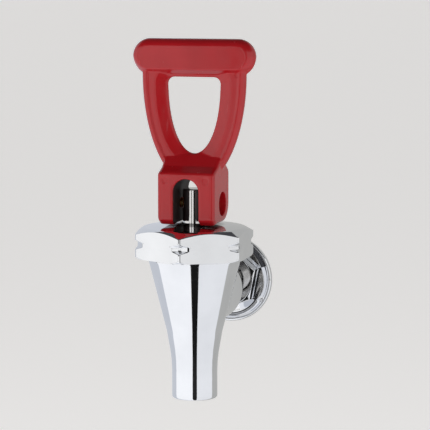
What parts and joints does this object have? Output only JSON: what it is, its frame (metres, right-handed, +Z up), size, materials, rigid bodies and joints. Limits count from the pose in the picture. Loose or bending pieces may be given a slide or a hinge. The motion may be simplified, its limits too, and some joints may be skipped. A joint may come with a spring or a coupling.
{
  "type": "dispenser faucet",
  "caption": "Self-closing chrome dispenser faucet with a tapered spout, hexagonal bonnet and red tilting grip, on a threaded shank that clamps a tank wall.",
  "frame": {"origin": "on the shank's axis, where the flange gasket meets the outside of the tank wall", "axes": "+Y along the shank into the tank, -Y to the user, +Z up along the faucet's own axis"},
  "size_m": [0.0426, 0.0895, 0.1211],
  "materials": {
    "chrome_plate": "polished chrome plate on brass",
    "stainless_steel": "turned stainless steel",
    "red_plastic": "moulded plastic, semi-gloss",
    "brass": "plain",
    "black_rubber": "matt",
    "clear_silicone": "satin",
    "white_acetal": "satin"
  },
  "bodies": {
    "fixed_set": {"faucet_body": "chrome_plate", "bonnet": "chrome_plate", "friction_ring": "white_acetal", "seat_cup": "clear_silicone", "shank": "stainless_steel", "shank_seal_washer": "black_rubber", "shank_jam_nut": "stainless_steel", "outer_nut": "chrome_plate", "escutcheon": "chrome_plate", "flange_gasket": "black_rubber", "inner_gasket": "black_rubber", "backing_washer": "stainless_steel", "lock_nut": "stainless_steel"},
    "swivel_set": {"spring": "stainless_steel", "spring_top_washer": "stainless_steel"},
    "stem_set": {"stem": "stainless_steel", "spring_follower": "stainless_steel"},
    "handle_set": {"handle": "red_plastic", "handle_pin": "brass"}
  },
  "joints": [
    {"name": "handle_swivel", "type": "hinge", "parent": "fixed_set", "child": "swivel_set", "pos_m": [0, -0.0451, 0.0249], "axis": [0, 0, 1], "continuous": true},
    {"name": "stem_lift", "type": "slide", "parent": "swivel_set", "child": "stem_set", "axis": [0, 0, 1], "range_m": [0, 0.0049], "deforming": ["spring", "seat_cup"]},
    {"name": "handle_tilt", "type": "hinge", "parent": "stem_set", "child": "handle_set", "pos_m": [0, -0.0451, 0.0314], "axis": [1, 0, 0], "range_deg": [0, 45], "stiffness_Nm_per_rad": 0.07, "springref_deg": -74.48}
  ],
  "couplings": [
    {"joint": "handle_tilt", "follows": "stem_lift", "rad_per_m": 160}
  ]
}
